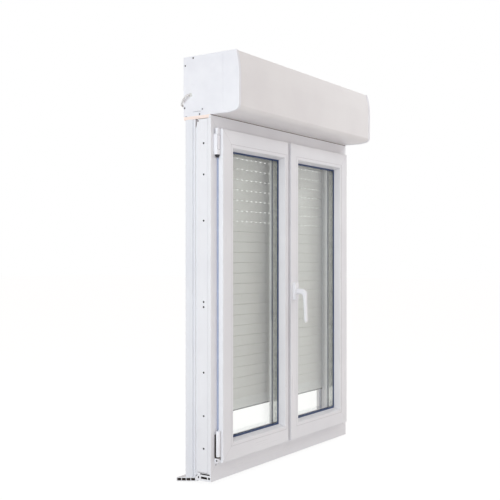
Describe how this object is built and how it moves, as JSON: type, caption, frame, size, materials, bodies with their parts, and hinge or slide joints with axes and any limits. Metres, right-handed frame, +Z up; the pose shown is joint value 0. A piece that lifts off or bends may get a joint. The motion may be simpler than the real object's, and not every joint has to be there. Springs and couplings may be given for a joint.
{
  "type": "roller shutter window unit",
  "caption": "White two-leaf inward-opening window with a roller-shutter box on top and a slatted curtain running in side guides behind the glass.",
  "frame": {"origin": "on the flat underside of the sill, in the middle of the width and of the frame's depth", "axes": "+X along the width, +Y from the room side to the outside, +Z up"},
  "size_m": [1.0179, 0.276, 1.5185],
  "materials": {
    "white_pvc": "satin white profile",
    "box_pvc": "satin white panel",
    "slat_pvc": "matt pale grey slat",
    "seating_foam": "cream closed-cell foam",
    "seal_rubber": "soft grey seal",
    "gasket_rubber": "soft dark gasket",
    "glass": "clear float glass",
    "spacer_metal": "mill finish",
    "steel": "galvanised",
    "screw_steel": "dark screw head",
    "cable_pvc": "white cable sheath",
    "motor_metal": "painted tube",
    "hardware_white": "white powder coat",
    "strap_plastic": "flexible strap"
  },
  "bodies": {
    "window_frame": {"frame_head": "white_pvc", "frame_bottom_bar": "white_pvc", "frame_left_jamb": "white_pvc", "frame_right_jamb": "white_pvc", "frame_reinforcements": "steel", "frame_seal": "seal_rubber", "sill": "white_pvc", "left_guide_rail": "white_pvc", "right_guide_rail": "white_pvc", "guide_glide_strips": "seal_rubber", "seating_strip": "seating_foam", "box_front_panel": "box_pvc", "box_top_panel": "box_pvc", "box_rear_panel": "box_pvc", "box_hatch": "box_pvc", "left_end_cap": "box_pvc", "right_end_cap": "box_pvc", "end_cap_screws": "screw_steel", "guide_funnels": "strap_plastic", "motor_bracket": "steel", "bearing_bracket": "steel", "motor": "motor_metal", "cable_grommet": "seal_rubber", "motor_cable": "cable_pvc", "motor_cable_coil": "cable_pvc", "hinge_brackets": "hardware_white", "hinge_pins": "steel"},
    "axle": {"axle_tube": "steel", "drive_adaptors": "strap_plastic", "idler_plug": "strap_plastic"},
    "curtain": {"curtain_slats": "slat_pvc", "end_slat": "slat_pvc", "end_slat_seal": "gasket_rubber", "curtain_straps": "strap_plastic"},
    "left_sash": {"left_top_rail": "white_pvc", "left_bottom_rail": "white_pvc", "left_hinge_stile": "white_pvc", "left_meeting_stile": "white_pvc", "left_glazing_beads": "white_pvc", "left_glass_panes": "glass", "left_glass_spacer": "spacer_metal", "left_glazing_gaskets": "gasket_rubber", "left_sash_reinforcements": "steel", "left_sash_hinges": "hardware_white", "lock_keeps": "steel"},
    "right_sash": {"right_top_rail": "white_pvc", "right_bottom_rail": "white_pvc", "right_hinge_stile": "white_pvc", "right_meeting_stile": "white_pvc", "right_glazing_beads": "white_pvc", "right_glass_panes": "glass", "right_glass_spacer": "spacer_metal", "right_glazing_gaskets": "gasket_rubber", "right_sash_reinforcements": "steel", "right_sash_hinges": "hardware_white", "handle_rosette": "hardware_white", "lock_gearbox": "steel"},
    "handle": {"handle_lever": "hardware_white", "handle_spindle": "steel"},
    "lock_rod": {"lock_rod": "steel"}
  },
  "joints": [
    {"name": "right_sash_turn", "type": "hinge", "parent": "window_frame", "child": "right_sash", "pos_m": [0.4715, -0.0455, 0.65], "axis": [0, 0, 1], "range_deg": [0, 90]},
    {"name": "left_sash_turn", "type": "hinge", "parent": "window_frame", "child": "left_sash", "pos_m": [-0.4715, -0.0455, 0.65], "axis": [0, 0, -1], "range_deg": [0, 90]},
    {"name": "handle_turn", "type": "hinge", "parent": "right_sash", "child": "handle", "pos_m": [0.021, -0.095, 0.653], "axis": [0, -1, 0], "range_deg": [0, 90]},
    {"name": "lock_rod_slide", "type": "slide", "parent": "right_sash", "child": "lock_rod", "axis": [0, 0, 1], "range_m": [0, 0.018]},
    {"name": "curtain_lower", "type": "slide", "parent": "window_frame", "child": "curtain", "axis": [0, 0, -1], "range_m": [0, 0.197], "deforming": ["curtain_straps"]},
    {"name": "axle_spin", "type": "hinge", "parent": "window_frame", "child": "axle", "pos_m": [0, -0.03, 1.396], "axis": [-1, 0, 0], "range_deg": [0, 333]}
  ],
  "couplings": [
    {"joint": "left_sash_turn", "follows": "right_sash_turn", "ratio": 1},
    {"joint": "lock_rod_slide", "follows": "handle_turn", "m_per_rad": 0.011459},
    {"joint": "axle_spin", "follows": "curtain_lower", "rad_per_m": 29.412}
  ]
}
